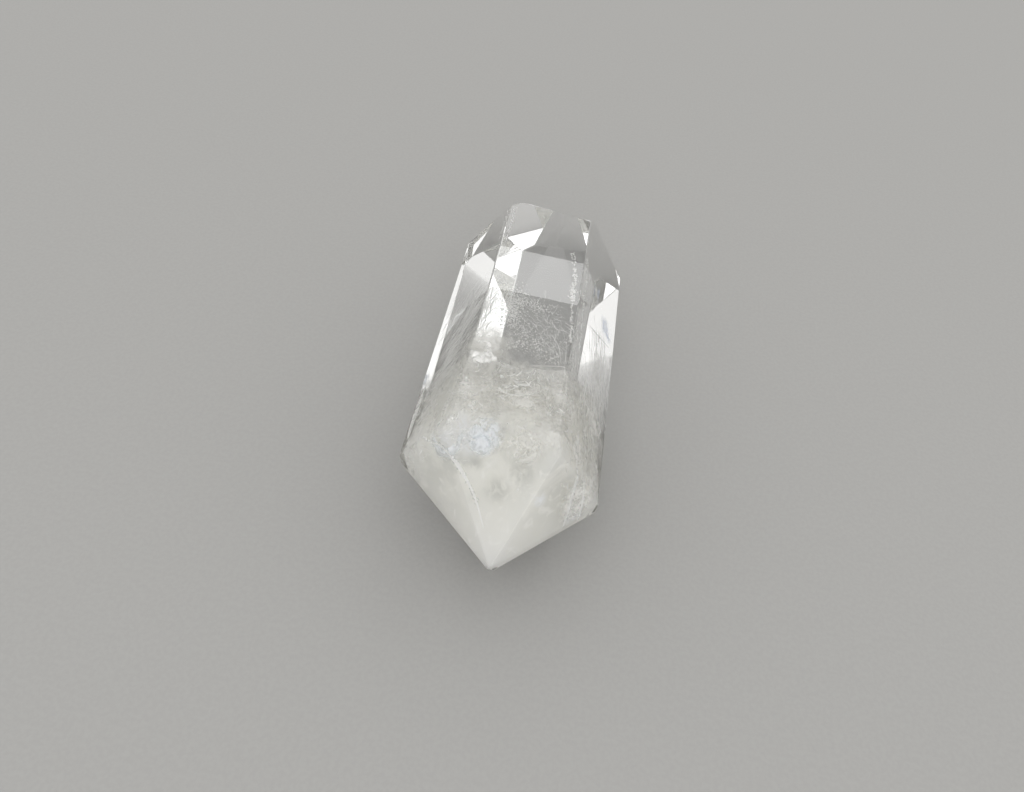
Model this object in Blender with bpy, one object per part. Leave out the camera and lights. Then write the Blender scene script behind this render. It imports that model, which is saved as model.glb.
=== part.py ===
"""A double terminated quartz point: one polished crystal that lies on a side face.

The crystal is cut out of a rough block the way a stone cutter grinds one: six long side
faces around the axis, six facets on each of the two points, a blunted tip at each end,
and a fine wear along every edge. The long axis runs along Y. The near point is at -Y, and
left and right are as seen from that end. The base face lies on Z = 0, and the origin is
at the middle of the underside of the crystal's box.
"""

import math
from dataclasses import dataclass

import bmesh
import bpy
from mathutils import Vector

MM = 0.001

# Sizes that drive the crystal, in metres.
AXIS_HEIGHT = 9.95 * MM
MEAN_APOTHEM = 9.95 * MM
TIP_WEAR = 0.3 * MM
EDGE_WEAR_STRIPS = (0.16 * MM, 0.05 * MM)

# The rough block is larger than the crystal all round.
BLOCK_SIDE = 40.0 * MM
BLOCK_LENGTH = 90.0 * MM

# Cut points closer than this are one point.
MERGE_DISTANCE = 0.002 * MM

# The finish that the solid carries.
QUARTZ_COLOUR = (0.86, 0.87, 0.85, 1.0)
QUARTZ_ROUGHNESS = 0.06
QUARTZ_METALLIC = 0.0
QUARTZ_IOR = 1.544


@dataclass(frozen=True)
class Side:
    """A long side face of the crystal.

    turn is the direction that the face looks in, in degrees around the long axis from
    +X towards +Z. reach is its distance from the axis in millimetres.
    """

    name: str
    turn: float
    reach: float


@dataclass(frozen=True)
class Facet:
    """A facet of one of the two points.

    turn is as for a side face. slope is the angle between the facet and the long axis in
    degrees. shoulder is how far from the crystal's middle, in millimetres along the axis,
    the facet meets a side face of the mean apothem.
    """

    name: str
    turn: float
    slope: float
    shoulder: float


SIDES = (
    Side("base", 270.0, 9.95),
    Side("lower right", 336.5, 10.65),
    Side("upper right", 31.5, 9.65),
    Side("top", 88.5, 9.7),
    Side("upper left", 144.5, 10.45),
    Side("lower left", 213.0, 8.65),
)

NEAR_POINT = (
    Facet("near base", 270.0, 42.5, 20.7),
    Facet("near lower right", 330.5, 42.5, 21.6),
    Facet("near upper right", 29.0, 41.5, 20.8),
    Facet("near top", 91.5, 41.0, 19.7),
    Facet("near upper left", 147.0, 47.0, 21.2),
    Facet("near lower left", 210.0, 43.0, 20.0),
)

FAR_POINT = (
    Facet("far base", 263.5, 43.5, 23.1),
    Facet("far lower right", 332.5, 43.0, 23.6),
    Facet("far upper right", 30.0, 39.0, 19.6),
    Facet("far top", 82.0, 41.5, 19.1),
    Facet("far upper left", 142.5, 42.5, 19.6),
    Facet("far lower left", 212.0, 37.5, 19.3),
)


def around_axis(turn):
    """Return the unit vector that looks away from the long axis at a turn in degrees."""
    angle = math.radians(turn)
    return Vector((math.cos(angle), 0.0, math.sin(angle)))


def side_plane(side):
    """Return a point on a side face and the direction that the face looks in."""
    outward = around_axis(side.turn)
    point = outward * side.reach * MM + Vector((0.0, 0.0, AXIS_HEIGHT))
    return point, outward


def facet_plane(facet, end):
    """Return a point on a facet and the direction that the facet looks in.

    end is 1 for the far point, towards +Y, and -1 for the near point.
    """
    outward = around_axis(facet.turn)
    slope = math.radians(facet.slope)
    point = outward * MEAN_APOTHEM + Vector((0.0, end * facet.shoulder * MM, AXIS_HEIGHT))
    normal = outward * math.cos(slope) + Vector((0.0, end * math.sin(slope), 0.0))
    return point, normal


def rough_block():
    """Return the mesh of the rough block, with the crystal's axis through its middle."""
    mesh = bmesh.new()
    bmesh.ops.create_cube(mesh, size=1.0)
    bmesh.ops.scale(mesh, vec=(BLOCK_SIDE, BLOCK_LENGTH, BLOCK_SIDE), verts=mesh.verts)
    bmesh.ops.translate(mesh, vec=(0.0, 0.0, AXIS_HEIGHT), verts=mesh.verts)
    return mesh


def grind(mesh, point, normal):
    """Grind the mesh flat at a plane: take away what is outside it and close the cut."""
    cut = bmesh.ops.bisect_plane(
        mesh,
        geom=mesh.verts[:] + mesh.edges[:] + mesh.faces[:],
        dist=MERGE_DISTANCE,
        plane_co=point,
        plane_no=normal,
        clear_outer=True,
    )
    rim = [item for item in cut["geom_cut"] if isinstance(item, bmesh.types.BMEdge)]
    bmesh.ops.contextual_create(mesh, geom=rim)
    mesh.normal_update()


def blunt_tip(mesh, end):
    """Rub the tip at one end of the crystal flat."""
    tip = max(mesh.verts, key=lambda vert: end * vert.co.y).co.copy()
    outward = Vector((0.0, end, 0.0))
    grind(mesh, tip - outward * TIP_WEAR, outward)


def wear_edges(mesh, width):
    """Rub every edge down to a narrow strip of a width, square to the edge's bisector."""
    strips = []
    for edge in mesh.edges:
        first, second = (face.normal for face in edge.link_faces)
        outward = (first + second).normalized()
        depth = width / 2 * math.tan(first.angle(second) / 2)
        strips.append((edge.verts[0].co - outward * depth, outward))
    for point, outward in strips:
        grind(mesh, point, outward)


def set_origin_under_middle(mesh):
    """Move the crystal so that the origin is at the middle of its box's underside."""
    across = [vert.co.x for vert in mesh.verts]
    along = [vert.co.y for vert in mesh.verts]
    lowest = min(vert.co.z for vert in mesh.verts)
    middle = Vector(((min(across) + max(across)) / 2, (min(along) + max(along)) / 2, lowest))
    bmesh.ops.translate(mesh, vec=-middle, verts=mesh.verts)


def clear_quartz():
    """Return the material of polished clear quartz."""
    material = bpy.data.materials.new("clear_quartz")
    material.use_nodes = True
    shader = material.node_tree.nodes["Principled BSDF"]
    shader.inputs["Base Color"].default_value = QUARTZ_COLOUR
    shader.inputs["Roughness"].default_value = QUARTZ_ROUGHNESS
    shader.inputs["Metallic"].default_value = QUARTZ_METALLIC
    shader.inputs["IOR"].default_value = QUARTZ_IOR
    shader.inputs["Transmission Weight"].default_value = 1.0
    return material


def quartz_crystal():
    """Grind the crystal, and return its object."""
    mesh = rough_block()
    for side in SIDES:
        grind(mesh, *side_plane(side))
    for facet in NEAR_POINT:
        grind(mesh, *facet_plane(facet, -1))
    for facet in FAR_POINT:
        grind(mesh, *facet_plane(facet, 1))
    for end in (-1, 1):
        blunt_tip(mesh, end)
    for width in EDGE_WEAR_STRIPS:
        wear_edges(mesh, width)
    set_origin_under_middle(mesh)
    bmesh.ops.recalc_face_normals(mesh, faces=mesh.faces)
    data = bpy.data.meshes.new("quartz_crystal")
    mesh.to_mesh(data)
    mesh.free()
    data.materials.append(clear_quartz())
    crystal = bpy.data.objects.new("quartz_crystal", data)
    bpy.context.scene.collection.objects.link(crystal)
    return crystal


def main():
    """Empty the scene and build the crystal in it."""
    for item in list(bpy.data.objects):
        bpy.data.objects.remove(item, do_unlink=True)
    quartz_crystal()


main()
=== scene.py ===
"""Looks of a double terminated quartz point: a polished crystal, clear at its far end and
milky towards its near end, with healed cracks, needles and specks inside the stone.

Every size is in millimetres until it reaches Blender, and places are in the frame of the
crystal: +Y runs from the milky near point to the clear far point, and +Z is up.
"""

from __future__ import annotations

import logging
import math
from collections.abc import Callable
from dataclasses import dataclass
from enum import Enum

import bpy
import numpy as np
from mathutils import Matrix, Vector, noise


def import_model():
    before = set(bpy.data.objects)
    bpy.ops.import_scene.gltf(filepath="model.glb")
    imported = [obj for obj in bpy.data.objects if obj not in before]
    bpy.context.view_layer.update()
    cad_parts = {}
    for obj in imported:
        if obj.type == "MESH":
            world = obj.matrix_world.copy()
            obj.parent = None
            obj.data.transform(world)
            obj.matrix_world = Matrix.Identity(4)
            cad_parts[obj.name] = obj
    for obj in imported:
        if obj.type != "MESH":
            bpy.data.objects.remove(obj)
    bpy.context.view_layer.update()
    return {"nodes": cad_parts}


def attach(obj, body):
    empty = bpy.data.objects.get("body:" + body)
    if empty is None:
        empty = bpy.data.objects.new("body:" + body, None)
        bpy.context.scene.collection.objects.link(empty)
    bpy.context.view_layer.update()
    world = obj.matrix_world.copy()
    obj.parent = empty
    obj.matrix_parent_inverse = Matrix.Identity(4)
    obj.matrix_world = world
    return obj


LOG = logging.getLogger("quartz")
MM = 0.001
CRYSTAL = "quartz_crystal"
BODY = "root"
THICKNESS = "thickness"
THIN = (0.025, 0.05)
SHORT = (0.4, 2.2)
LEFT_BOW = (-0.4, 0.2, 0.5)
FLAT_BOW = (0.08, 0.04, 0.08)
BROAD = (0.07, 0.2)
STREAK = (0.4, 1.6)
SOFT_BOW = (0.15, -0.25, 0.05)
ICE = (0.95, 0.975, 1.0)
BLUE = (0.70, 0.79, 0.98)
BAND = (0.78, 0.775, 0.74)
MILK_WHITE = (0.95, 0.943, 0.905)
MILK_GREY = (0.79, 0.785, 0.76)
MILK_CREAM = (0.90, 0.893, 0.85)
Point = tuple[float, float, float]
Colour = tuple[float, float, float]
Socket = bpy.types.NodeSocket


def metres(point: Point | Vector) -> Vector:
    """Turn a place in millimetres into one in metres."""
    return Vector(point) * MM


def smooth(values: np.ndarray) -> np.ndarray:
    """Hold values between 0 and 1 and ease them in and out."""
    held = np.clip(values, 0.0, 1.0)
    return held * held * (3.0 - 2.0 * held)


def any_turns(rng: np.random.Generator, count: int) -> np.ndarray:
    """Return random rotations.

    Args:
        rng: The source of chance.
        count: How many rotations.

    Returns:
        Rotation matrices, one to each item.
    """
    axes = np.linalg.qr(rng.normal(size=(count, 3, 3)))[0]
    axes[:, :, 0] *= np.sign(np.linalg.det(axes))[:, None]
    return axes


def turns_along(ways: np.ndarray, rng: np.random.Generator) -> np.ndarray:
    """Return rotations that stand a form's Z along given ways, at a random roll.

    Args:
        ways: The wanted directions, one to a row.
        rng: The source of chance.

    Returns:
        Rotation matrices, one to each way.
    """
    rise = ways / np.linalg.norm(ways, axis=1)[:, None]
    side = np.cross(rise, rng.normal(size=rise.shape))
    side /= np.linalg.norm(side, axis=1)[:, None]
    return np.stack([side, np.cross(rise, side), rise], axis=2)


class NodeDesk:
    """Builds the nodes of one material, one short call to a node."""

    def __init__(self, name: str) -> None:
        """Start a material.

        Args:
            name: The material's name.
        """
        self.material = bpy.data.materials.new(name)
        self.material.use_nodes = True
        self.tree = self.material.node_tree
        self.shader = self.tree.nodes["Principled BSDF"]
        self.output = self.tree.nodes["Material Output"]

    def feed(self, node: bpy.types.Node, name: str | int, value: object) -> None:
        """Give an input of a node a value, or a link from another node's socket.

        Args:
            node: The node.
            name: The input's name or number.
            value: A plain value, or another node's output socket.
        """
        if isinstance(value, Socket):
            self.tree.links.new(value, node.inputs[name])
        else:
            node.inputs[name].default_value = value

    def add(self, kind: str, settings: dict | None = None, **inputs: object) -> bpy.types.Node:
        """Add a node.

        Args:
            kind: The node's type name without its ShaderNode prefix.
            settings: Properties of the node itself.
            **inputs: Values or sockets for its inputs, with _ for a space.

        Returns:
            The new node.
        """
        node = self.tree.nodes.new("ShaderNode" + kind)
        for name, value in (settings or {}).items():
            setattr(node, name, value)
        for name, value in inputs.items():
            self.feed(node, name.replace("_", " "), value)
        return node

    def math(self, operation: str, first: object, second: object) -> Socket:
        """Return the result of a Math node, held between 0 and 1.

        Args:
            operation: The node's operation, such as MULTIPLY.
            first: A value or socket.
            second: A value or socket.

        Returns:
            The result's socket.
        """
        node = self.add("Math", {"operation": operation, "use_clamp": True})
        self.feed(node, 0, first)
        self.feed(node, 1, second)
        return node.outputs[0]

    def between(self, value: object, low: float, high: float) -> Socket:
        """Stretch a value so that low becomes 0 and high becomes 1, and hold it there.

        Args:
            value: A value or socket.
            low: What becomes 0.
            high: What becomes 1.

        Returns:
            The stretched value's socket.
        """
        node = self.add("MapRange", {"interpolation_type": "SMOOTHSTEP"}, Value=value)
        self.feed(node, "From Min", low)
        self.feed(node, "From Max", high)
        return node.outputs[0]

    def place(self, stretch: Point = (1.0, 1.0, 1.0), turn: Point = (0.0, 0.0, 0.0)) -> Socket:
        """Return the place on the piece, turned and stretched for a pattern."""
        spot = self.add("TexCoord").outputs["Object"]
        return self.add("Mapping", Vector=spot, Rotation=turn, Scale=stretch).outputs["Vector"]

    def along(self, axis: str, start: float, end: float) -> Socket:
        """Return a ramp from 0 to 1 between two places, in millimetres, on an axis."""
        split = self.add("SeparateXYZ", Vector=self.add("TexCoord").outputs["Object"])
        return self.between(split.outputs[axis], start * MM, end * MM)

    def spot(self, centre: Point, radius: float) -> Socket:
        """Return a soft spot: 1 at its centre and 0 from its radius on.

        Args:
            centre: The spot's middle, in millimetres.
            radius: How far it reaches, in millimetres.

        Returns:
            The spot's socket.
        """
        near = self.add("TexCoord").outputs["Object"]
        away = self.add("VectorMath", {"operation": "SUBTRACT"})
        self.feed(away, 0, near)
        self.feed(away, 1, metres(centre))
        length = self.add("VectorMath", {"operation": "LENGTH"})
        self.feed(length, 0, away.outputs[0])
        return self.between(length.outputs["Value"], radius * MM, 0.0)

    def clouds(
        self, grain: float, low: float, high: float, vector: Socket | None = None, **noise_inputs: float
    ) -> Socket:
        """Return a cloudy pattern between 0 and 1.

        Args:
            grain: Size of a cloud in millimetres.
            low: The noise value that becomes 0.
            high: The noise value that becomes 1.
            vector: The place to read, or None for the place on the piece.
            **noise_inputs: Other inputs of the Noise Texture.

        Returns:
            The pattern's socket.
        """
        inputs = {"Detail": 4.0, "Roughness": 0.6} | noise_inputs
        node = self.add("TexNoise", Vector=vector or self.place(), Scale=1.0 / (grain * MM), **inputs)
        return self.between(node.outputs[0], low, high)

    def blend(self, share: Socket, first: Colour | Socket, second: Colour) -> Socket:
        """Return a colour between two colours.

        Args:
            share: How much of the second colour, from 0 to 1.
            first: A colour or a colour socket.
            second: The other colour.

        Returns:
            The mixed colour's socket.
        """
        node = self.add("Mix", {"data_type": "RGBA"})
        self.feed(node, 0, share)
        self.feed(node, 6, first if isinstance(first, Socket) else (*first, 1.0))
        self.feed(node, 7, (*second, 1.0))
        return node.outputs[2]

    def shade(self, **inputs: object) -> None:
        """Give the shader's inputs values or links, with _ for a space in a name."""
        for name, value in inputs.items():
            self.feed(self.shader, name.replace("_", " "), value)

    def dull(self) -> None:
        """Make the surface fully matt."""
        self.shade(Roughness=1.0, Specular_IOR_Level=0.0)


@dataclass(frozen=True)
class ClearQuartz:
    """The polished stone itself: see-through, with a trace of green in its depth."""

    ior: float = 1.544
    roughness: float = 0.0
    tint: Colour = (0.90, 0.93, 0.88)
    absorption: float = 2.0

    def material(self) -> bpy.types.Material:
        """Build the material.

        Returns:
            The material.
        """
        desk = NodeDesk("polished_clear_quartz")
        desk.shade(Base_Color=(1.0, 1.0, 1.0, 1.0), Roughness=self.roughness)
        desk.shade(IOR=self.ior, Transmission_Weight=1.0)
        volume = desk.add("VolumeAbsorption", Color=(*self.tint, 1.0), Density=self.absorption)
        desk.tree.links.new(volume.outputs[0], desk.output.inputs["Volume"])
        return desk.material


@dataclass(frozen=True)
class MilkQuartz:
    """The dense milk of the near point: soft white, with light passing deep into it."""

    pale: Colour = (0.90, 0.893, 0.85)
    deep: Colour = (0.76, 0.76, 0.73)
    shadow: Colour = (0.66, 0.66, 0.63)
    ice: Colour = (0.97, 0.985, 1.0)
    glow_depth: float = 8.0
    thin_spots: tuple[tuple[Point, float], ...] = (
        ((-0.3, -20.5, 18.8), 1.2),
        ((-2.7, -23.2, 16.5), 1.3),
        ((0.2, -25.0, 14.9), 2.0),
        ((2.4, -23.4, 16.4), 2.2),
        ((5.6, -21.0, 18.6), 1.5),
        ((9.1, -18.6, 12.9), 1.8),
    )
    white_spots: tuple[tuple[Point, float], ...] = (
        ((-6.0, -21.7, 17.4), 2.0),
        ((-3.6, -21.5, 17.9), 2.4),
        ((-2.3, -21.9, 17.6), 1.4),
        ((-4.9, -20.5, 18.8), 1.8),
        ((8.5, -22.3, 11.9), 1.8),
        ((8.5, -23.2, 10.2), 1.6),
        ((7.6, -18.3, 15.2), 1.4),
        ((4.6, -24.8, 14.3), 1.2),
    )

    @staticmethod
    def patches(desk: NodeDesk, spots: tuple[tuple[Point, float], ...], ragged: Socket) -> Socket:
        """Return soft patches around given places, with ragged rims.

        Args:
            desk: The material's desk.
            spots: The middle and the radius of each patch, in millimetres.
            ragged: A pattern that breaks the patches up.

        Returns:
            The patches' socket.
        """
        share = desk.spot(*spots[0])
        for centre, radius in spots[1:]:
            share = desk.math("MAXIMUM", share, desk.spot(centre, radius))
        return desk.math("MULTIPLY", share, desk.math("ADD", ragged, 0.25))

    def material(self) -> bpy.types.Material:
        """Build the material.

        Returns:
            The material.
        """
        desk = NodeDesk("milk_quartz")
        streaks = desk.place(stretch=(1.0, 0.35, 1.0), turn=(0.35, 0.1, 0.15))
        shade = desk.clouds(4.0, 0.36, 0.66, streaks, Distortion=0.8)
        tip = desk.along("Y", -20.0, -30.5)
        colour = desk.blend(desk.math("MAXIMUM", shade, tip), self.deep, self.pale)
        drawn = desk.clouds(1.7, 0.52, 0.7, streaks, Detail=5.0, Distortion=1.6)
        colour = desk.blend(drawn, colour, MILK_WHITE)
        ragged = desk.clouds(0.9, 0.38, 0.6, streaks, Detail=5.0, Distortion=1.2)
        colour = desk.blend(self.patches(desk, self.thin_spots, ragged), colour, self.shadow)
        colour = desk.blend(self.patches(desk, self.white_spots, ragged), colour, self.ice)
        desk.dull()
        desk.shade(Base_Color=colour, Subsurface_Weight=1.0)
        desk.shade(Subsurface_Radius=(1.0, 1.0, 1.0), Subsurface_Scale=self.glow_depth * MM)
        return desk.material


def milk_tone(desk: NodeDesk) -> Socket:
    """Return the colour of thin milk, paler towards the near point."""
    return desk.blend(desk.along("Y", -17.0, -26.0), MILK_GREY, MILK_CREAM)


@dataclass(frozen=True)
class Haze:
    """One depth of thin milk, in drawn-out wisps that fade out towards the clear end."""

    strength: float
    full: float = -13.0
    gone: float = 0.0
    buried: tuple[float, float] = (-23.5, -19.5)

    def material(self, name: str) -> bpy.types.Material:
        """Build the material.

        Args:
            name: The material's name.

        Returns:
            The material.
        """
        desk = NodeDesk(name)
        drawn = desk.place(stretch=(1.0, 0.5, 1.0), turn=(0.3, 0.2, 0.1))
        billows = desk.clouds(4.5, 0.36, 0.62, drawn, Detail=4.0, Distortion=0.7)
        wisps = desk.clouds(1.1, 0.44, 0.66, drawn, Detail=5.0, Distortion=1.6)
        thick = desk.math("MULTIPLY", desk.math("ADD", billows, 0.25), desk.math("ADD", wisps, 0.35))
        fade = desk.math("MULTIPLY", desk.along("Y", self.gone, self.full), self.strength)
        fade = desk.math("MULTIPLY", fade, desk.along("Y", *self.buried))
        desk.dull()
        desk.shade(Base_Color=milk_tone(desk), Alpha=desk.math("MULTIPLY", thick, fade))
        return desk.material


@dataclass(frozen=True)
class SoftWisp:
    """A veil that is thickest where its mesh says so and has no edge."""

    strength: float
    colour: Colour | None = None

    def material(self, name: str) -> bpy.types.Material:
        """Build the material.

        Args:
            name: The material's name.

        Returns:
            The material.
        """
        desk = NodeDesk(name)
        thickness = desk.add("Attribute", {"attribute_name": THICKNESS}).outputs["Fac"]
        middle = desk.between(thickness, 0.0, 1.0)
        tone = (*self.colour, 1.0) if self.colour else milk_tone(desk)
        desk.dull()
        desk.shade(Base_Color=tone, Alpha=desk.math("MULTIPLY", middle, self.strength))
        return desk.material


@dataclass(frozen=True)
class WhiteInclusion:
    """Fluid-filled specks, needles and veins, that scatter the light they meet."""

    colour: Colour = (0.985, 0.985, 0.975)
    dullest: float = 0.93
    grain: float = 0.4
    gloss_roughness: float = 0.5

    def material(self, name: str) -> bpy.types.Material:
        """Build the material.

        Args:
            name: The material's name.

        Returns:
            The material.
        """
        desk = NodeDesk(name)
        dull: Colour = tuple(self.dullest * part for part in self.colour)
        share = desk.clouds(self.grain, 0.3, 0.7)
        desk.shade(Base_Color=desk.blend(share, dull, self.colour), Roughness=self.gloss_roughness)
        return desk.material


@dataclass(frozen=True)
class CrackFilm:
    """The film of an old crack, broken into blotches that thin out at its rim."""

    middle: Point
    reach: float
    strength: float
    colour: Colour
    blotch: float
    low: float
    high: float
    rim_strength: float = 1.8
    roughness: float = 0.35

    def material(self, name: str) -> bpy.types.Material:
        """Build the material.

        Args:
            name: The material's name.

        Returns:
            The material.
        """
        desk = NodeDesk(name)
        blotches = desk.clouds(self.blotch, self.low, self.high, Detail=5.0, Distortion=0.6)
        rim = desk.math("MULTIPLY", desk.spot(self.middle, self.reach), self.rim_strength)
        alpha = desk.math("MULTIPLY", desk.math("MULTIPLY", blotches, rim), self.strength)
        desk.shade(Base_Color=(*self.colour, 1.0), Roughness=self.roughness, Alpha=alpha)
        return desk.material


@dataclass(frozen=True)
class PaleFloor:
    """The plain pale floor that the stone lies on, with a faint fine grain."""

    colour: Colour = (0.34, 0.337, 0.33)
    dullest: float = 0.96
    grain: float = 0.5
    roughness: float = 0.9
    specular: float = 0.1

    def material(self) -> bpy.types.Material:
        """Build the material.

        Returns:
            The material.
        """
        desk = NodeDesk("pale_floor")
        fibres = desk.clouds(self.grain, 0.3, 0.7, Detail=2.0)
        darker: Colour = tuple(self.dullest * part for part in self.colour)
        desk.shade(Base_Color=desk.blend(fibres, darker, self.colour))
        desk.shade(Roughness=self.roughness, Specular_IOR_Level=self.specular)
        return desk.material


@dataclass(frozen=True)
class CutPlane:
    """A flat cut: a point on it and the way it looks, both in metres."""

    point: Vector
    normal: Vector

    def inside(self, inset: float) -> CutPlane:
        """Return the plane moved back into the stone by an inset in metres."""
        return CutPlane(self.point - self.normal * inset, self.normal)

    def leaned(self, pivot: Vector, lean: float) -> CutPlane:
        """Return the plane through another point, leaned so that it closes in along +Y."""
        return CutPlane(pivot, (self.normal + Vector((0.0, lean, 0.0))).normalized())

    @classmethod
    def through(cls, top: Point, foot: Point, across: Point) -> CutPlane:
        """Return the plane through two places and a way across, looking towards +Y.

        Args:
            top: A place on the plane, in millimetres.
            foot: Another place on it, in millimetres.
            across: A way that lies in the plane.

        Returns:
            The plane.
        """
        normal = Vector(across).cross(metres(top) - metres(foot)).normalized()
        if normal.y < 0.0:
            normal.negate()
        return cls(metres(foot), normal)


class Stone:
    """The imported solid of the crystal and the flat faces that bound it."""

    def __init__(self, node: bpy.types.Object, least_area: float = 10.0) -> None:
        """Read the stone's flat faces from its solid.

        Args:
            node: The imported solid, whose mesh is left alone.
            least_area: The smallest face to read, in square millimetres.
        """
        self.node = node
        areas: dict[tuple, float] = {}
        found: dict[tuple, CutPlane] = {}
        for face in node.data.polygons:
            key = tuple(round(value, 2) for value in face.normal)
            areas[key] = areas.get(key, 0.0) + face.area
            found.setdefault(key, CutPlane(face.center.copy(), face.normal.copy()))
        least = least_area * MM * MM
        self.planes = [found[key] for key in sorted(areas) if areas[key] > least]

    def dress(self, material: bpy.types.Material) -> None:
        """Give the stone its finish.

        Args:
            material: The finish.
        """
        self.node.data.materials.clear()
        self.node.data.materials.append(material)
        LOG.info("%s: %d flat faces", self.node.name, len(self.planes))

    def holds(self, places: np.ndarray, inset: float) -> np.ndarray:
        """Tell which places are inside the stone.

        Args:
            places: Places in millimetres, one to a row.
            inset: How far inside every face they must be, in millimetres.

        Returns:
            True for each place that is inside.
        """
        inside = np.ones(len(places), bool)
        for plane in self.planes:
            height = (places - np.array(plane.point) / MM) @ np.array(plane.normal)
            inside &= height < -inset
        return inside

    def keep(self, corners: np.ndarray, inset: float = 0.06) -> np.ndarray:
        """Press corners that stick out back inside the stone.

        Args:
            corners: Places in millimetres, one to a row.
            inset: How far inside every face they end, in millimetres.

        Returns:
            The corners, all inside.
        """
        kept = corners.copy()
        for plane in self.planes * 3:
            normal = np.array(plane.normal)
            height = (kept - np.array(plane.point) / MM) @ normal + inset
            kept -= np.clip(height, 0.0, None)[:, None] * normal
        return kept

    def sunk(self, places: np.ndarray, depth: float) -> np.ndarray:
        """Move places straight to a depth under the nearest face.

        Args:
            places: Places in millimetres, one to a row.
            depth: How far under the face they end, in millimetres.

        Returns:
            The moved places.
        """
        points = np.array([plane.point for plane in self.planes]) / MM
        normals = np.array([plane.normal for plane in self.planes])
        heights = np.einsum("nij,ij->ni", places[:, None] - points, normals)
        nearest = heights.argmax(axis=1)
        rise = heights[np.arange(len(places)), nearest] + depth
        return places - rise[:, None] * normals[nearest]

    def keep_piece(self, piece: bpy.types.Object, inset: float = 0.06) -> None:
        """Press a finished piece's corners back inside the stone."""
        corners = np.array([vertex.co for vertex in piece.data.vertices]) / MM
        piece.data.vertices.foreach_set("co", (self.keep(corners, inset) * MM).ravel())


class Bench:
    """Work on one new piece at a time, with everything else left alone."""

    @staticmethod
    def start(add: Callable, name: str, **place: object) -> bpy.types.Object:
        """Deselect all, add a primitive and name it.

        Args:
            add: The operator that adds the primitive.
            name: The new piece's name.
            **place: The operator's size and place.

        Returns:
            The new object, active and selected.
        """
        bpy.ops.object.select_all(action="DESELECT")
        add(**place)
        piece = bpy.context.active_object
        piece.name = name
        piece.data.name = name
        bpy.ops.object.transform_apply(location=True, rotation=True, scale=True)
        return piece

    @staticmethod
    def trim(planes: list[CutPlane]) -> None:
        """Cut the active piece back to behind every plane, and close each cut.

        Args:
            planes: The cuts.
        """
        bpy.ops.object.mode_set(mode="EDIT")
        for plane in planes:
            bpy.ops.mesh.select_all(action="SELECT")
            bpy.ops.mesh.bisect(
                plane_co=plane.point, plane_no=plane.normal, use_fill=True, clear_outer=True
            )
        bpy.ops.object.mode_set(mode="OBJECT")

    @staticmethod
    def pick_face(piece: bpy.types.Object, rank: Callable) -> None:
        """Select only the face that ranks highest, in edit mode.

        Args:
            piece: The active piece.
            rank: Gives each face its rank.
        """
        bpy.ops.mesh.select_all(action="DESELECT")
        bpy.ops.mesh.select_mode(type="FACE")
        bpy.ops.object.mode_set(mode="OBJECT")
        max(piece.data.polygons, key=rank).select = True
        bpy.ops.object.mode_set(mode="EDIT")

    @staticmethod
    def resize(scale: Point) -> None:
        """Resize the whole active piece about its middle.

        Args:
            scale: How many times as large, along each axis.
        """
        bpy.ops.object.mode_set(mode="EDIT")
        bpy.ops.mesh.select_all(action="SELECT")
        bpy.ops.transform.resize(value=scale)
        bpy.ops.object.mode_set(mode="OBJECT")

    @staticmethod
    def apply(piece: bpy.types.Object) -> None:
        """Apply every modifier of a piece.

        Args:
            piece: The piece, which is left active.
        """
        bpy.ops.object.select_all(action="DESELECT")
        piece.select_set(True)
        bpy.context.view_layer.objects.active = piece
        for modifier in list(piece.modifiers):
            bpy.ops.object.modifier_apply(modifier=modifier.name)

    @staticmethod
    def finish(piece: bpy.types.Object, material: bpy.types.Material) -> None:
        """Dress a piece in its finish and let it ride with the stone.

        Args:
            piece: The piece, whose mesh is done.
            material: Its finish.
        """
        piece.data.materials.clear()
        piece.data.materials.append(material)
        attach(piece, BODY)
        LOG.info("%s: %d faces", piece.name, len(piece.data.polygons))

    @staticmethod
    def even_faces(piece: bpy.types.Object, size: float) -> None:
        """Add a Remesh modifier that makes even faces.

        Args:
            piece: The piece.
            size: The side of a face, in millimetres.
        """
        remesh = piece.modifiers.new("even_faces", "REMESH")
        remesh.mode = "VOXEL"
        remesh.voxel_size = size * MM
        remesh.use_smooth_shade = True

    @staticmethod
    def lumps(piece: bpy.types.Object, size: float, height: float, middle: float = 0.5) -> None:
        """Add a Displace modifier that raises cloudy lumps.

        Args:
            piece: The piece.
            size: How wide a lump is, in millimetres.
            height: How high the lumps rise, in millimetres.
            middle: The cloud's value that leaves the surface where it is.
        """
        texture = bpy.data.textures.new(piece.name + "_lumps", "CLOUDS")
        texture.noise_scale = size * MM
        swell = piece.modifiers.new("lumps", "DISPLACE")
        swell.texture = texture
        swell.texture_coords = "LOCAL"
        swell.strength = height * MM
        swell.mid_level = middle

    @staticmethod
    def rounded(piece: bpy.types.Object, passes: int) -> None:
        """Add a Smooth modifier that rounds the edges off.

        Args:
            piece: The piece.
            passes: How many times it smooths.
        """
        soften = piece.modifiers.new("rounded", "SMOOTH")
        soften.factor = 0.5
        soften.iterations = passes

    @staticmethod
    def subdivided(piece: bpy.types.Object, levels: int = 2) -> None:
        """Add a Subdivision Surface modifier.

        Args:
            piece: The piece.
            levels: How many times it divides each face.
        """
        smoother = piece.modifiers.new("smoother", "SUBSURF")
        smoother.levels = levels
        smoother.render_levels = levels


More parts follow.
